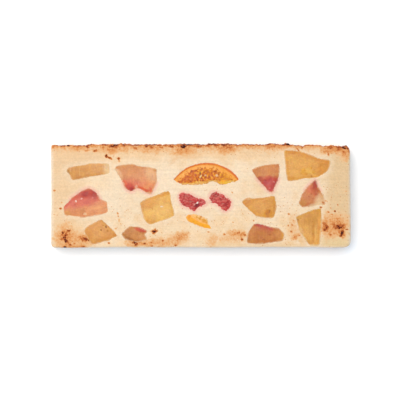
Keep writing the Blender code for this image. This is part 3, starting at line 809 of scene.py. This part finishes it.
# %% Amber pieces: candied melon and pear
AMBER = {
    "amber_strip": Fruit("DCA166", (
        ("D2965C", -88, 16.5, 6, 5, 0.8, 0, 1.1), ("BE8A48", -93.4, 16.5, 1.2, 2, 0.9, 10),
        ("EBC190", -91.8, 18.3, 0.4, 2.4, 0.4, -8), ("E9B983", -85.4, 17, 0.35, 4, 0.4),
        ("D0935A", -81.5, 18, 0.6, 4.6, 0.4), ("E2AC78", -71, 19, 6, 4, 0.5, 0, 1.1),
        ("F0D0A4", -65.2, 18.6, 3.2, 7, 0.85, 0, 1.3)), fibre_turn=95, fibre_strength=0.04),
    "amber_kite": Fruit("DEA062", (
        ("E4A86C", -72.5, -25.5, 6, 4.6, 0.6, 0, 1.1), ("DC9C5A", -70, -31, 8, 2.2, 0.6, 10, 1.1),
        ("84501F", -66.7, -22, 0.7, 0.9, 0.9), ("9C642C", -70.2, -24, 0.8, 0.6, 0.85),
        ("B87C40", -65.6, -24.6, 1, 0.5, 0.7, -30), ("B87C44", -68.6, -21, 0.6, 0.4, 0.7),
        ("D8954F", -78.4, -26, 2.6, 6, 0.5, 0, 1.1),
        ("D0874A", -60.4, -28, 2.4, 1.4, 0.6, -40)), fibre_turn=88, fibre_strength=0.04, fibre_spacing=0.7),
    "amber_square": Fruit("ECB86E", (
        ("F1C178", -27.5, -11, 7, 5, 0.8, 0, 1.1), ("E0A05C", -38, -5, 7, 4, 0.8, 20, 1.1),
        ("DEA468", -41.7, -8.5, 1.8, 8, 0.75, -14, 0.8), ("DE9E4A", -27, 0.8, 6.4, 1.5, 0.85, 20),
        # painted highlight: the pale spot F5E0C4 at (-27.9, -7.6)
        ("E2A45C", -36.5, -18.2, 4, 2.6, 0.6, -25, 1), ("F5E0C4", -27.9, -7.6, 0.9, 0.6, 0.9, -15),
        ("D29345", -34.3, -9.2, 0.5, 0.4, 0.7), ("C48C58", -40.6, -6.5, 0.4, 1.6, 0.5),
        ("E0A85E", -20.6, -9, 1.2, 6, 0.5, 12)), fibre_turn=-20, fibre_strength=0.04),
    "amber_large": Fruit("E5AB63", (
        ("DB9A56", 73, 29.2, 14, 2.8, 0.9, -18, 1), ("D48E4A", 62.5, 30.6, 4, 1.6, 0.8),
        ("DA9652", 86, 21.5, 5, 5, 0.9, 0, 1.1), ("EBB46A", 66.5, 20, 6, 6, 0.6, 0, 1.2),
        ("DFA058", 60, 20, 1.4, 10, 0.6, 3, 1), ("E5A640", 71.6, 16.6, 2.4, 2.8, 0.7, 0, 1.1),
        ("F0BC62", 75.2, 17.4, 2, 2.4, 0.75, 0, 1), ("DC9E44", 78.4, 16.6, 1.4, 1.4, 0.6),
        ("D9983E", 73.6, 15.2, 0.9, 0.7, 0.7), ("F3C470", 73.4, 18.8, 0.8, 0.7, 0.7),
        ("E09E3C", 76.6, 19.4, 0.9, 0.8, 0.6), ("F2C36C", 77.4, 15.2, 0.7, 0.6, 0.6),
        ("AE6A36", 76.8, 13.2, 0.7, 0.6, 0.85, -20), ("D8964A", 62, 11.8, 3.5, 1.8, 0.7),
        ("E0A05A", 72, 12.4, 9, 1, 0.6, 3),
        ("E69F52", 83, 17, 3, 3, 0.5)), fibre_turn=-10, fibre_strength=0.035),
    "amber_fin": Fruit("E0A25D", (
        ("D48F58", 30, -4.6, 3, 2.4, 0.85, 0, 1), ("D29350", 51, -7, 1.2, 8, 0.7, 2, 1),
        ("D28C1C", 46.6, -12.4, 2.6, 2.6, 0.95, 0, 1), ("A46C20", 47.5, -10.8, 0.45, 1.3, 0.7, -8),
        ("BC8028", 45.4, -12.6, 0.6, 0.8, 0.6), ("DDA04C", 44.6, -14, 1.4, 0.8, 0.5),
        ("D2934F", 36, -3, 8, 1.1, 0.4, 8), ("E5AB6A", 41, -7, 5, 3.5, 0.5, 0, 1.1),
        ("EBC596", 33, -2.6, 1.6, 0.7, 0.5, 10)), fibre_turn=20, fibre_strength=0.035),
    "amber_block": Fruit("D89F5A", (
        ("E9B068", 73.4, -23, 4.5, 7, 0.75, 10, 1.2), ("ECB066", 78.6, -31, 4.2, 4, 0.75, 0, 1.1),
        ("DC9E50", 79, -11, 5, 2, 0.8, 20, 1.1), ("CE9252", 76, -17, 3.6, 4.4, 0.7, 0, 1.1),
        ("C98A48", 78.2, -26, 0.8, 7, 0.65), ("F0BC72", 80.2, -26, 0.8, 7, 0.6),
        ("F2B068", 82.4, -23, 1.4, 9, 0.8), ("A87438", 67.7, -17, 0.8, 0.8, 0.75),
        ("B47E44", 69.6, -15.8, 0.6, 0.5, 0.5), ("B87C3C", 77.8, -18, 0.6, 0.5, 0.5),
        ("EEC898", 69.4, -24, 1.2, 3.2, 0.5, 28, 1.1), ("F1D3A6", 71, -30.5, 1.8, 4, 0.75, 33, 1),
        # painted highlight: the pale spot F3DDBE at (70.8, -29.3)
        ("F3DDBE", 70.8, -29.3, 1, 0.9, 0.7), ("86522A", 71.9, -30.3, 0.5, 0.4, 0.8),
        ("F1D3A2", 79, -35.4, 6, 1.4, 0.7, 0, 1)), fibre_turn=90, fibre_strength=0.04, fibre_spacing=0.9),
}
for name, fruit in AMBER.items():
    piece = fruit_mesh(name, lump=5, lump_height=0.12, wrinkle=1.4, wrinkle_height=0.06)
    piece.data.materials.append(candied(name, fruit))

# %% [markdown]
# ## Fruit that is dyed on one side
#
# These pieces lay beside cherries in the syrup, so cherry red has gone into them from one side. The red is
# deepest at the rim and gives way to amber within a few millimetres.

# %% Blushed and russet pieces
DYED = {
    "blush_wedge": Fruit("E59E74", (
        ("DC9068", -89, -10.8, 7, 3.4, 0.7, 0, 1.1), ("EBA87C", -70.5, -8, 5, 4, 0.6, 0, 1.1),
        ("E08A70", -83, -6.4, 12, 2.2, 0.6, 4, 1.2), ("DA9C60", -94.6, -12.4, 2.6, 1.8, 0.7),
        ("DC7468", -84, -3, 16, 4.2, 0.9, 13, 0.8), ("D8706A", -79, -2.4, 8, 3, 0.6, 5, 1.2),
        ("E68672", -95, -7.2, 3, 1.8, 0.75, 30), ("BC3C42", -79.5, 1.8, 9, 3, 0.9, 8),
        ("A8363E", -81.5, 1.4, 2.6, 1.5, 0.75, 20), ("B24246", -74.6, 0.6, 2.2, 2.6, 0.75, 30),
        ("CC5A54", -88, -0.9, 4, 1.4, 0.7, 40), ("D65E5A", -92.2, -4.4, 5.4, 1, 0.65, 42),
        # painted highlights: the pale spots FBE8DE, F4CCC2 and EAB0A4
        ("FBE8DE", -87.7, -3.8, 0.45, 0.9, 0.9, 20, 0.6), ("F4CCC2", -84.2, -2.4, 0.6, 0.6, 0.75),
        ("EAB0A4", -76, -1.8, 0.5, 0.5, 0.5), ("C8845A", -83.3, -11.4, 1.8, 1.6, 0.5),
        ("F5CFA8", -81.7, -12.9, 1.1, 0.8, 0.8, 0, 0.6),
        ("B56A44", -88.5, -6.5, 0.5, 0.4, 0.6)), fibre_turn=10, fibre_strength=0.04),
    "blush_trapezoid": Fruit("DC986E", (
        ("D29262", -51, 20, 9, 2.2, 0.7, 3, 1.1), ("EBC09A", -57.4, 15, 1.4, 3.6, 0.6, 30, 1.1),
        ("ECBC92", -35.4, 14.5, 4.4, 5.5, 0.8, 0, 1.2), ("E49E78", -44, 12.6, 7, 3, 0.6, 0, 1.2),
        ("EE986E", -38.5, 7, 6, 3.6, 0.75, -10, 1.2), ("E07C68", -48, 8, 6.5, 3.4, 0.8, -14, 1.2),
        ("CC4E4C", -50.4, 6.2, 3.4, 2.8, 0.9, -25), ("AE3C40", -49.2, 4.6, 1.5, 1.3, 0.85),
        ("E06858", -53.6, 8.8, 1.6, 2.4, 0.7, 30), ("E06650", -41.6, 5, 3, 1.1, 0.85, -20),
        ("D85C4C", -38.4, 3.6, 1.6, 1.2, 0.8, -20), ("DC6A54", -35.6, 3.6, 1.2, 2.4, 0.8, 20),
        # painted highlight: the pale pink spot F2BCA2 at (-45.8, 6.2)
        ("F2BCA2", -45.8, 6.2, 1, 1.2, 0.7), ("F3D3AC", -60.4, 18, 1.3, 2.5, 0.6, 40),
        ("C98F60", -32, 18.2, 2, 1.4, 0.7)), fibre_turn=85, fibre_strength=0.045),
    "blush_triangle": Fruit("D48E60", (
        ("DA9464", 45, 17.5, 6, 2.6, 0.6, 8, 1.2), ("C8825A", 38, 15.8, 2, 3.6, 0.6, -40),
        ("D08A60", 53, 18, 1.6, 4, 0.6), ("CB6456", 46.6, 10.2, 8.5, 3.6, 0.85, 0, 0.6),
        ("C24E52", 48, 7.6, 7, 5, 0.95, 0, 0.6), ("BE4A48", 52.2, 10.6, 1.8, 3, 0.7, 10),
        ("CE5C60", 46.4, 8.6, 3, 2.4, 0.6, 0, 1.1), ("B04A40", 41, 11.8, 2, 1.6, 0.6, -20),
        # painted highlights: the small pink spots E08C88 and E08C86
        ("D5565C", 48.4, 3.8, 1.6, 1.6, 0.7), ("E08C88", 50.8, 9.6, 0.7, 0.7, 0.7),
        ("E08C86", 47.6, 5.4, 0.6, 0.6, 0.6),
        ("A84044", 44.6, 11, 1.1, 0.9, 0.5)), fibre_turn=88, fibre_strength=0.04),
    "blush_shard": Fruit("D0845A", (
        ("D59068", 73.6, -1, 4, 5, 0.6, 30, 1.2), ("C98C54", 70.5, -5.2, 3, 2.4, 0.7, 20, 1.2),
        ("DC7C64", 76, 4.6, 2.6, 4.6, 0.75, 32, 1.1), ("C86650", 79, 3.6, 2.6, 4, 0.6, 0, 1.2),
        ("D28E66", 76.4, 0, 1.8, 1.8, 0.7, 0, 1.2), ("B04A3A", 79.4, 7.4, 1.9, 4, 0.9, -6, 1),
        ("EAC49C", 82.8, -4, 3.6, 4.6, 0.9, -20, 1.3), ("EBC8A2", 80, -7, 5.4, 1.6, 0.85, 8, 1.1),
        ("E0AE80", 84.4, 0, 1.2, 3.6, 0.6, 8), ("C47436", 85, -5.1, 1.1, 0.9, 0.85),
        ("B45440", 77, 1.6, 0.8, 0.6, 0.7), ("B45440", 80, 0.8, 0.8, 0.7, 0.6),
        ("BE6450", 75.2, -0.6, 0.8, 0.6, 0.5), ("BC6450", 78, -2, 0.9, 0.5, 0.5),
        ("B85C44", 81.4, 3.4, 0.7, 0.9, 0.5)), fibre_turn=60, fibre_strength=0.04),
    "russet_small": Fruit("CC8A5A", (
        ("D3935E", -46, -27.6, 4.5, 3, 0.6, 0, 1.1), ("C85A4A", -42.6, -24, 4.6, 1.4, 0.95, -17, 0.7),
        ("A0683C", -51.6, -29.6, 6, 0.9, 0.6, -30, 1), ("BE7E50", -52, -26, 3.6, 3, 0.5, 20, 1.1),
        ("E0A46E", -41.5, -29.2, 2.8, 2, 0.6, 0, 1.1)), fibre_turn=70, fibre_strength=0.045),
    "russet_long": Fruit("CB8454", (
        ("BE5044", 43.5, -21.8, 7.2, 1.8, 0.9, -17, 0.8), ("B84640", 39.6, -20.8, 2.6, 1.2, 0.6),
        ("C66E58", 43, -24, 5.5, 1.8, 0.55, -12, 1.2), ("D6925C", 54, -27.4, 3.4, 3.6, 0.75, 0, 1.1),
        ("DFA65C", 57, -28.2, 1.4, 2.6, 0.8), ("C27A4C", 41, -28, 4.5, 4, 0.55, 0, 1.2),
        ("B0623C", 47.7, -27.3, 0.9, 0.7, 0.7), ("CE9158", 33.5, -31.6, 2.4, 1.6, 0.6),
        ("A8643C", 43.5, -31, 1.2, 0.5, 0.5),
        ("BC7046", 37.5, -29.5, 1, 0.8, 0.5)), fibre_turn=90, fibre_strength=0.045, fibre_spacing=0.7),
}
for name, fruit in DYED.items():
    piece = fruit_mesh(name, lump=4.5, lump_height=0.14, wrinkle=1.2, wrinkle_height=0.08)
    piece.data.materials.append(candied(name, fruit))

# %% [markdown]
# ## The orange slice and the strip of peel
#
# Both are cut from round slices, so everything in them runs in rings and rays about the middle of the whole
# fruit: a thin dark rind, pale pith, and flesh made of juice sacs that point at the middle. The materials and
# the relief use the same two measures, the distance from that middle and the angle round it.

# %% Rings and rays
class Slice(NamedTuple):
    """A round slice: its middle and radius, where its pith and flesh start, and its colours."""
    middle: tuple
    radius: float
    pith_at: float
    flesh_at: float
    rind: str
    pith: str
    flesh: tuple
    shades: tuple  # patches on the flesh alone
    patches: tuple


SAC_WIDTH = 1.5  # mm
SAC_LENGTH = 2.0
FLESH_MIDDLE = 0.8  # the share of the radius at which the sacs have that width

def sacs_a_radian(cut):
    """How many sacs lie side by side in an angle of one radian."""
    return FLESH_MIDDLE * cut.radius / SAC_WIDTH


def sliced_orange(name, cut):
    """The material of a candied slice."""
    material, tree, shader, place = new_material(f"candied_{name}")
    centred = add(tree, "VectorMath", {0: place, 1: (*cut.middle, 0)}, operation='SUBTRACT')
    flat = add(tree, "VectorMath", {0: centred, 1: (1, 1, 0)}, operation='MULTIPLY')
    out = add(tree, "VectorMath", {0: shifted(tree, flat, 1.6, 0.35)}, operation='LENGTH')
    x, y = (add(tree, "SeparateXYZ", {"Vector": flat}, take=axis) for axis in "XY")
    angle = add(tree, "Math", {0: y, 1: x}, operation='ARCTAN2')
    around = product(tree, angle, sacs_a_radian(cut))
    outwards = add(tree, "Math", {0: out, 1: SAC_LENGTH}, operation='DIVIDE')
    rays = add(tree, "CombineXYZ", {"X": around, "Y": outwards})
    sacs = add(tree, "TexNoise", {"Vector": rays, "Scale": 1.0, "Detail": 3.0, "Roughness": 0.6})
    flesh = add(tree, "ValToRGB", {"Fac": sacs}, stops=cut.flesh)
    flesh = painted(tree, shifted(tree, place, 3, 1), flesh, cut.shades)
    pith = covered(tree, cut.pith, (Scaled(out, cut.pith_at - 1.2, cut.pith_at, 0, 0.3), cut.rind))
    # the sacs reach up into the pith unevenly
    reached = add(tree, "Math", {0: out, 1: Scaled(sacs, 0.35, 0.65, -1.2, 1.2)}, operation='ADD')
    colour = covered(tree, flesh, (Scaled(reached, cut.flesh_at - 0.8, cut.flesh_at + 0.6, 0, 1), pith),
                     (Scaled(out, cut.pith_at - 0.4, cut.pith_at + 0.4, 0, 1), cut.rind))
    colour = painted(tree, shifted(tree, place, 1.5, 0.4), colour, cut.patches)
    cloud = add(tree, "TexNoise", {"Vector": place, "Scale": 1 / 1.5, "Detail": 3.0})
    colour = add(tree, "HueSaturation", {"Value": Scaled(cloud, 0.3, 0.7, 0.95, 1.05), "Color": colour})
    colour = smeared(tree, without_gloss(tree, colour, 0.85), cloud, 0.15)
    relief = add(tree, "Math", {0: sacs, 1: cloud}, operation='ADD')
    bump = add(tree, "Bump", {"Height": relief, "Strength": 0.35, "Distance": 0.2 * MM})
    set_shader(tree, shader, Base_Color=colour, Roughness=Scaled(cloud, 0.3, 0.7, 0.25, 0.45), Normal=bump,
               IOR=1.48, Specular_IOR_Level=0.3, Subsurface_Weight=0.15,
               Subsurface_Radius=(1.0, 0.45, 0.15), Subsurface_Scale=1.0 * MM)
    return material


def orange_relief(piece, cut, height):
    """Juice sacs as geometry: low ridges along the rays, inside the pith."""
    points = points_of(piece)
    away = points[:, :2] - cut.middle
    out = np.hypot(away[:, 0], away[:, 1])
    angle = np.arctan2(away[:, 1], away[:, 0])
    rays = np.column_stack((angle * sacs_a_radian(cut), out / SAC_LENGTH, points[:, 2] * 0.1))
    flesh = eased(cut.flesh_at - out, -0.3, 0.8)
    pith = eased(out, cut.flesh_at, cut.flesh_at + 0.6) * eased(cut.pith_at - out, -0.2, 0.4)
    lift_faces(piece, points, facing_of(piece), height * (flesh * noise_at(rays, 1.0, seed=6) - 0.5 * pith))


# %% The two pieces of orange
ORANGES = {
    "orange_slice": Slice(
        middle=(3.5, -6.5), radius=29, pith_at=28, flesh_at=25.7, rind="DE7434", pith="FCB266",
        flesh=((0.34, "94500A"), (0.44, "C86816"), (0.54, "E4882A"), (0.66, "FCC058")),
        shades=(
            ("D26A22", -10.8, 12.8, 7, 3.4, 0.5, 15, 1.1), ("EEAA3C", 17, 12, 6, 3.6, 0.4, -30, 1.1),
            ("EE9C34", 6, 18, 7, 1.6, 0.4, 0, 1.1)),
        patches=(
            ("FBC05A", 14.4, 9, 3.4, 0.9, 0.8), ("F8C880", 0, 9.4, 5, 0.7, 0.6),
            ("F5A444", 16, 17, 9, 1.1, 0.45, -38), ("74521E", -1.05, 15.8, 0.5, 1.2, 0.85, 0, 0.7),
            # painted highlights: the pale spots F6DCA4 at (-0.8, 13.4), F2C4A4 at (2.6, 14.3) and F4CCA8 at
            # (10.6, 14.1)
            ("F6DCA4", -0.8, 13.4, 0.45, 1.2, 0.9, -35, 0.7), ("A8541E", 1, 14, 0.9, 0.9, 0.6),
            ("F2C4A4", 2.6, 14.3, 0.9, 0.7, 0.75), ("B8601F", 3.8, 17.2, 0.7, 1.3, 0.6, 15),
            ("F4CCA8", 10.6, 14.1, 1, 0.8, 0.8), ("A4541C", 9.1, 16.9, 1.2, 0.6, 0.75, -20),
            ("A4541C", 11.9, 15.3, 0.8, 1.1, 0.7), ("B8601F", 14.4, 13, 1.4, 0.7, 0.5, 20),
            ("FFB42C", 15, 10.2, 1.2, 0.8, 0.85), ("ECC45A", 17.9, 8.9, 2, 0.8, 0.7, 10),
            ("F5C882", -6, 8.3, 10, 0.7, 0.55), ("F5CC84", 8, 10.2, 4, 0.6, 0.6),
            ("F6CB7C", 20.5, 10, 3.5, 0.7, 0.6), ("EE9C50", -16.4, 11.6, 1.8, 1.2, 0.6, 40),
            ("E07A48", -14, 16.6, 4, 0.7, 0.5, 42))),
    "orange_peel_strip": Slice(
        middle=(9.3, 3.7), radius=27.3, pith_at=24.8, flesh_at=22.2, rind="FCAE42", pith="FEC07C",
        flesh=((0.36, "DE9C44"), (0.5, "EEAE5C"), (0.64, "FAC88C")),
        shades=(),
        patches=(
            ("F6C894", 1, -15.6, 5, 0.9, 0.6, -24, 1.1), ("F2D09C", 5, -18.6, 1.4, 2.2, 0.6, 20, 1.1),
            ("FBB03A", 4.8, -21.8, 2.4, 1, 0.85, -28), ("F8CA98", -3, -13.2, 3.6, 0.8, 0.6, -15),
            ("C48A40", 2.4, -17.2, 0.5, 0.4, 0.7), ("C8903C", 1, -18.2, 0.5, 0.4, 0.6),
            ("C4883C", 3.6, -18.8, 0.4, 0.5, 0.6), ("D88440", -0.4, -14.9, 1, 0.6, 0.85, 10, 0.7),
            ("B88A48", 4, -16.4, 0.35, 0.8, 0.6), ("EC9E44", 1.4, -17.6, 1.8, 1.2, 0.65, -35),
            ("F09436", -8.6, -14.6, 0.8, 1.8, 0.7, -20), ("E69A40", 3.4, -18.6, 0.8, 1.5, 0.5, 10),
            ("F5AE54", -4.8, -15.4, 2.6, 0.3, 0.5, -38))),
}
for name, cut in ORANGES.items():
    piece = fruit_mesh(name, lump=4, lump_height=0.08, wrinkle=1.2, wrinkle_height=0.05)
    orange_relief(piece, cut, height=0.2)
    piece.data.materials.append(sliced_orange(name, cut))

# %% [markdown]
# ## The cherries
#
# A candied cherry is soft and crinkled, and was squashed out of shape when the paste was pressed round it.
# Its skin folds in on itself. The folds are darkened to deep red as painted shade, the ridges between them
# are made pinker as painted light, and syrup keeps it wet, so it is the glossiest thing on the bar.

# %% Crinkled, wet and red
CHERRIES = {
    "cherry_left": Fruit("CC4A58", (
        # painted light and shade among these patches: FBEFEA and EBC9BE are painted highlights, the thin dark
        # lines 96283A, 9C2C3C and 8E2A32 painted shade in the wrinkles, and 86182A painted shade in the hole
        ("D8686E", 1.6, -4.8, 2.6, 1.3, 0.8, -15), ("86182A", -3.6, -6.8, 2.6, 1.4, 0.9, 35),
        ("96283A", -7, -5.8, 2.2, 0.5, 0.7, -30), ("DA747A", -11, -3.4, 3.2, 0.4, 0.5, -20),
        ("DA747A", -8.6, -7.4, 2.6, 0.4, 0.5, -25), ("9C2C3C", -10.6, -4.9, 2.6, 0.35, 0.5, -25),
        ("C8222E", -4.4, -3.3, 3, 0.8, 0.85, -8), ("FBEFEA", -2.9, -4.9, 0.4, 0.9, 1, -50, 0.6),
        ("EBC9BE", -4.9, -6.1, 0.35, 1, 0.9, -50, 0.6), ("B43E46", -12, -1.5, 3, 1.6, 0.5, -20),
        ("D05456", -9, -5.8, 3.4, 1.1, 0.5, -15), ("8E2A32", -7.2, -4.2, 2.4, 0.5, 0.7, -12),
        ("A8303A", -1.2, -3.6, 1.2, 0.9, 0.6, -20), ("C8464A", -4.8, -9, 1.4, 1.2, 0.5))),
    "cherry_right": Fruit("CC4A54", (
        ("AA2C36", 9.4, 0.7, 3.6, 1.3, 0.8, -14), ("D86468", 10.5, -2.6, 3, 1, 0.6, -25),
        ("DE7E80", 13, -1.4, 4.4, 0.45, 0.65, -22), ("A63040", 16, -2.6, 2.4, 0.5, 0.6, -35),
        ("9A2A38", 15.4, -6.4, 1.5, 1.4, 0.5), ("AC3438", 17.2, -4.5, 2, 1.6, 0.5, -40),
        ("BA3C3E", 16.5, -7.5, 2.2, 1.6, 0.4, 20), ("DA6A68", 14.4, -8.6, 1.2, 1.4, 0.5, 20),
        ("8C2A30", 13.2, -2.4, 1.4, 0.6, 0.6, -50), ("962C32", 6.8, -1.4, 0.7, 1.6, 0.5, 10))),
}
# painted shade and light: the first darkens the folds, the second makes the ridges pinker
FOLD_SHADE_RED = "92262F"
RIDGE_LIGHT_PINK = "DA6A6E"
RIM_PINK = "E2686A"


def cherry_skin(name, cherry):
    """The material of a candied cherry."""
    material, tree, shader, place = new_material(f"candied_{name}")
    colour = painted(tree, shifted(tree, place, 1.8, 0.6), cherry.base, cherry.patches)
    fold = add(tree, "Attribute", take="Fac", attribute_name="fold")
    rim = add(tree, "Attribute", take="Fac", attribute_name="rim")
    # painted shade darkens the folds towards deep red, and painted light makes the ridges between them pinker
    colour = covered(tree, colour, (Scaled(fold, 0.3, 0, 0, 0.55), FOLD_SHADE_RED),
                     (Scaled(fold, 0.6, 1, 0, 0.4), RIDGE_LIGHT_PINK), (Scaled(rim, 0.1, 1.2, 0.4, 0), RIM_PINK))
    cells = add(tree, "TexNoise", {"Vector": place, "Scale": 1 / 0.9, "Detail": 2.0})
    colour = add(tree, "HueSaturation", {"Value": Scaled(cells, 0.35, 0.65, 0.88, 1.1), "Color": colour})
    bump = add(tree, "Bump", {"Height": cells, "Strength": 0.3, "Distance": 0.15 * MM})
    set_shader(tree, shader, Base_Color=without_gloss(tree, colour), Normal=bump, IOR=1.48,
               Roughness=Scaled(cells, 0.3, 0.7, 0.24, 0.42), Subsurface_Weight=0.3,
               Subsurface_Radius=(1.0, 0.2, 0.15), Subsurface_Scale=1.2 * MM)
    return material


# %% The folds of the cherries
FOLD = 2.4  # mm between folds of the skin
FOLD_DEPTH = 0.35
FOLD_STRETCH = (1, 1.3, 0.5)  # the folds run along the bar rather than across it
RIDGE = 0.7  # where a ridge levels off
FOLD_MEAN = 0.55

for name, cherry in CHERRIES.items():
    piece = fruit_mesh(name, lump=3.5, lump_height=0.15, wrinkle=1.0, wrinkle_height=0.05)
    points = points_of(piece)
    fold = np.abs(noise_at(points * FOLD_STRETCH, FOLD, seed=11)) * 2
    lift_faces(piece, points, facing_of(piece), FOLD_DEPTH * (np.minimum(fold, RIDGE) - FOLD_MEAN))
    keep_value(piece, "fold", np.clip(fold, 0, 1))
    piece.data.materials.append(cherry_skin(name, cherry))

# %% [markdown]
# ## The white card
#
# It only has to catch the shadow. A faint mottle keeps it from looking drawn.

# %% The floor
FLOOR_SIZE = 8.0  # metres
FLOOR_Z = -0.05 * MM  # a hair below the bar, so that no two faces lie in one plane
CARD = (0.95, 0.97, 0.99, 1)
CARD_MOTTLE = (0.92, 0.94, 0.96, 1)

bpy.ops.object.select_all(action='DESELECT')
bpy.ops.mesh.primitive_grid_add(x_subdivisions=4, y_subdivisions=4, size=FLOOR_SIZE, location=(0, 0, FLOOR_Z))
floor = bpy.context.object
floor.name = "white_card"
material, tree, shader, place = new_material("white_card_matt")
mottle = add(tree, "TexNoise", {"Vector": place, "Scale": 1 / 40, "Detail": 3.0})
set_shader(tree, shader, Base_Color=covered(tree, CARD, (mottle, CARD_MOTTLE)), Roughness=0.9)
floor.data.materials.append(material)

# %% The size of the whole
def plain(box):
    """A box as lists of plain numbers."""
    return [[float(x) for x in corner] for corner in box]


print("CAD box", plain(cad_box))
